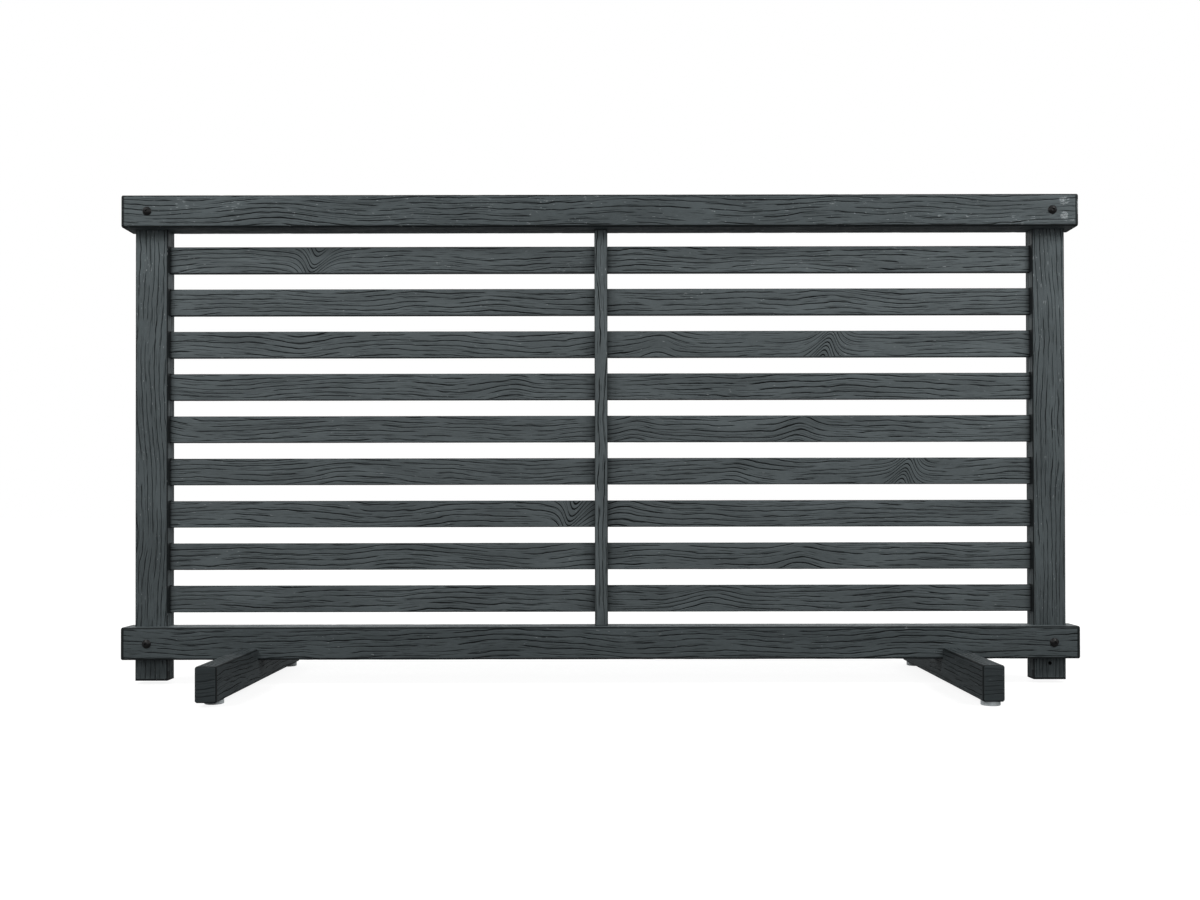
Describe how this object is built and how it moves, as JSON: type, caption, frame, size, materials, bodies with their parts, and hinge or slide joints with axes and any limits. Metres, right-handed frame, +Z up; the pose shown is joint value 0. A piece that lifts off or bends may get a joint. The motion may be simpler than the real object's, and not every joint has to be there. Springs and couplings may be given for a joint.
{
  "type": "vinyl fence panel",
  "caption": "Free-standing slatted privacy screen in hollow wood-grain vinyl: top and bottom rails, end posts, a centre stile and notched cross feet on rubber pads.",
  "frame": {"origin": "on the floor, under the middle of the panel and of its feet", "axes": "+X along the panel to the right seen from the front, +Y from front to back, +Z up"},
  "size_m": [1.88, 0.562, 0.9638],
  "materials": {
    "rail_vinyl": "wood-grain emboss, satin",
    "post_vinyl": "wood-grain emboss, satin",
    "slat_vinyl": "wood-grain emboss, satin",
    "stile_vinyl": "wood-grain emboss, satin",
    "foot_vinyl": "wood-grain emboss, satin",
    "cap_vinyl": "fine-grained moulded plastic",
    "pad_rubber": "matt grey rubber",
    "black_steel": "black coated steel",
    "zinc_steel": "zinc-plated steel",
    "aluminium": "mill-finish extrusion",
    "core_plastic": "sawn plastic block"
  },
  "bodies": {
    "root": {"top_rail": "rail_vinyl", "bottom_rail": "rail_vinyl", "post_left": "post_vinyl", "post_right": "post_vinyl", "stile_front": "stile_vinyl", "stile_back": "stile_vinyl", "stiffener_top": "aluminium", "stiffener_bottom": "aluminium", "rail_cap_top_left": "cap_vinyl", "rail_cap_bottom_left": "cap_vinyl", "post_plug_left": "cap_vinyl", "foot_left": "foot_vinyl", "foot_block_left": "core_plastic", "foot_cap_left_front": "cap_vinyl", "foot_cap_left_rear": "cap_vinyl", "pad_left_front": "pad_rubber", "pad_left_rear": "pad_rubber", "rail_cap_top_right": "cap_vinyl", "rail_cap_bottom_right": "cap_vinyl", "post_plug_right": "cap_vinyl", "foot_right": "foot_vinyl", "foot_block_right": "core_plastic", "foot_cap_right_front": "cap_vinyl", "foot_cap_right_rear": "cap_vinyl", "pad_right_front": "pad_rubber", "pad_right_rear": "pad_rubber", "slat_1": "slat_vinyl", "slat_2": "slat_vinyl", "slat_3": "slat_vinyl", "slat_4": "slat_vinyl", "slat_5": "slat_vinyl", "slat_6": "slat_vinyl", "slat_7": "slat_vinyl", "slat_8": "slat_vinyl", "slat_9": "slat_vinyl", "pad_screws": "zinc_steel", "stile_screws": "black_steel", "post_bolts": "black_steel", "post_bolt_plates": "zinc_steel", "post_spacers": "core_plastic", "foot_bolts": "zinc_steel", "foot_bolt_plates": "zinc_steel"}
  },
  "joints": []
}
